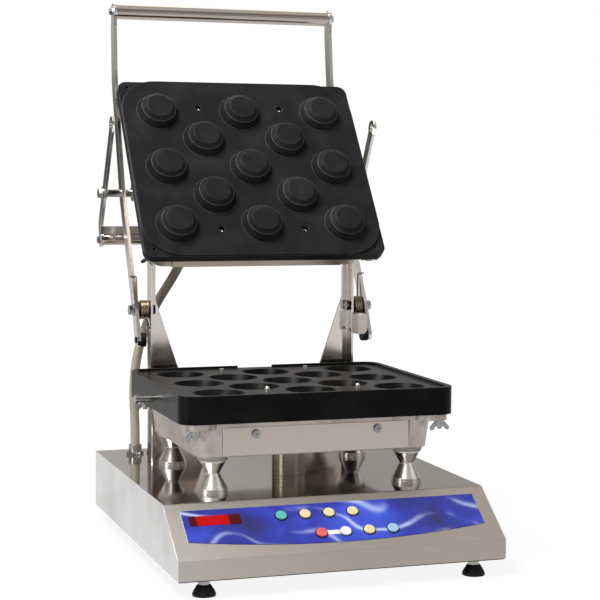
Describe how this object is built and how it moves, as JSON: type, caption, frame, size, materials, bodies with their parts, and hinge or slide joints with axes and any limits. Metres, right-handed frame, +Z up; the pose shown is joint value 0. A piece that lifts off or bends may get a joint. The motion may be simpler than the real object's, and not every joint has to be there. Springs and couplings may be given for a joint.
{
  "type": "tartlet shell maker",
  "caption": "Countertop tartlet shell maker: a slope-fronted base carries a heated plate of stepped cups; a heated lid with matching bosses hangs in swing arms with a latch yoke.",
  "frame": {"origin": "on the table, under the middle of the bounding box of the open machine", "axes": "+X to the machine's right seen from the front, +Y towards the lift pivot at the back, +Z up"},
  "size_m": [0.43, 0.58, 0.7595],
  "materials": {
    "stainless": "polished",
    "stainless_dark": "satin",
    "plated_steel": "polished",
    "cast_aluminium": "satin",
    "black_plate": "matte",
    "black_paint": "matte",
    "black_rubber": "matte",
    "ceramic_white": "satin",
    "overlay_blue": "gloss",
    "window_red": "gloss",
    "key_green": "gloss",
    "key_yellow": "gloss",
    "key_red": "gloss",
    "key_white": "gloss",
    "key_blue": "gloss",
    "board_green": "matte",
    "grey_plastic": "matte",
    "hose_grey": "satin",
    "spring_steel": "satin",
    "grey_paint": "satin",
    "element_steel": "satin"
  },
  "bodies": {
    "base": {"base_housing": "stainless", "base_bottom_plate": "black_paint", "rubber_feet": "black_rubber", "foot_studs": "plated_steel", "control_overlay": "overlay_blue", "display_window": "window_red", "display_module": "grey_plastic", "control_board": "board_green", "heater_relay": "grey_plastic", "terminal_block": "grey_plastic", "mains_gland": "grey_plastic", "conduit_base_gland": "plated_steel", "conduit_hose": "hose_grey", "heater_spacers": "stainless", "spacer_washers": "ceramic_white", "centre_column": "stainless_dark", "lower_heater_pan": "cast_aluminium", "lower_front_cover": "stainless", "lower_heating_element": "element_steel", "temperature_probe": "element_steel", "lower_plate": "black_plate", "locating_pins": "plated_steel", "latch_pins": "plated_steel", "lower_wing_nuts": "plated_steel", "post_right": "stainless", "post_left": "stainless", "base_screws": "plated_steel", "pivot_bolts": "plated_steel", "spring_anchors": "plated_steel", "torsion_spring_right": "spring_steel", "torsion_spring_left": "spring_steel", "stop_bracket": "grey_paint"},
    "arms": {"arm_right": "stainless", "arm_left": "stainless", "arm_bumpers": "black_rubber", "handle_tube": "stainless", "handle_bolts": "plated_steel", "lid_pins": "plated_steel"},
    "lid": {"upper_plate": "black_plate", "upper_heater_pan": "cast_aluminium", "upper_rear_cover": "stainless", "upper_heating_element": "element_steel", "upper_wing_nuts": "plated_steel", "lid_ears": "stainless", "lid_screws": "plated_steel", "lid_terminal_box": "stainless", "conduit_lid_gland": "plated_steel"},
    "yoke": {"hook_bar_right": "stainless", "hook_bar_left": "stainless", "yoke_tube": "stainless", "yoke_strip": "stainless", "yoke_bolts": "plated_steel"},
    "key_upper_1": {"button_upper_1": "key_green"},
    "key_upper_2": {"button_upper_2": "key_yellow"},
    "key_upper_3": {"button_upper_3": "key_yellow"},
    "key_upper_4": {"button_upper_4": "key_yellow"},
    "key_lower_1": {"button_lower_1": "key_red"},
    "key_lower_2": {"button_lower_2": "key_white"},
    "key_lower_3": {"button_lower_3": "key_yellow"},
    "key_lower_4": {"button_lower_4": "key_blue"}
  },
  "joints": [
    {"name": "lid_lift", "type": "hinge", "parent": "base", "child": "arms", "pos_m": [0, 0.1213, 0.3141], "axis": [1, 0, 0], "range_deg": [0, 116.07], "deforming": ["torsion_spring_right", "torsion_spring_left", "conduit_hose"]},
    {"name": "lid_swivel", "type": "hinge", "parent": "arms", "child": "lid", "pos_m": [0, 0.21193, 0.47794], "axis": [1, 0, 0], "range_deg": [0, 10.63]},
    {"name": "latch_swing", "type": "hinge", "parent": "arms", "child": "yoke", "pos_m": [0, 0.21193, 0.47794], "axis": [1, 0, 0], "range_deg": [-25, 40.52]},
    {"name": "press_upper_1", "type": "slide", "parent": "base", "child": "key_upper_1", "axis": [0, 0.5817, -0.8134], "range_m": [0, 0.0007], "stiffness_N_per_m": 400, "springref_m": -0.0005},
    {"name": "press_upper_2", "type": "slide", "parent": "base", "child": "key_upper_2", "axis": [0, 0.5817, -0.8134], "range_m": [0, 0.0007], "stiffness_N_per_m": 400, "springref_m": -0.0005},
    {"name": "press_upper_3", "type": "slide", "parent": "base", "child": "key_upper_3", "axis": [0, 0.5817, -0.8134], "range_m": [0, 0.0007], "stiffness_N_per_m": 400, "springref_m": -0.0005},
    {"name": "press_upper_4", "type": "slide", "parent": "base", "child": "key_upper_4", "axis": [0, 0.5817, -0.8134], "range_m": [0, 0.0007], "stiffness_N_per_m": 400, "springref_m": -0.0005},
    {"name": "press_lower_1", "type": "slide", "parent": "base", "child": "key_lower_1", "axis": [0, 0.5817, -0.8134], "range_m": [0, 0.0007], "stiffness_N_per_m": 400, "springref_m": -0.0005},
    {"name": "press_lower_2", "type": "slide", "parent": "base", "child": "key_lower_2", "axis": [0, 0.5817, -0.8134], "range_m": [0, 0.0007], "stiffness_N_per_m": 400, "springref_m": -0.0005},
    {"name": "press_lower_3", "type": "slide", "parent": "base", "child": "key_lower_3", "axis": [0, 0.5817, -0.8134], "range_m": [0, 0.0007], "stiffness_N_per_m": 400, "springref_m": -0.0005},
    {"name": "press_lower_4", "type": "slide", "parent": "base", "child": "key_lower_4", "axis": [0, 0.5817, -0.8134], "range_m": [0, 0.0007], "stiffness_N_per_m": 400, "springref_m": -0.0005}
  ],
  "couplings": [
    {"joint": "lid_swivel", "follows": "lid_lift", "ratio": 0.091389}
  ]
}
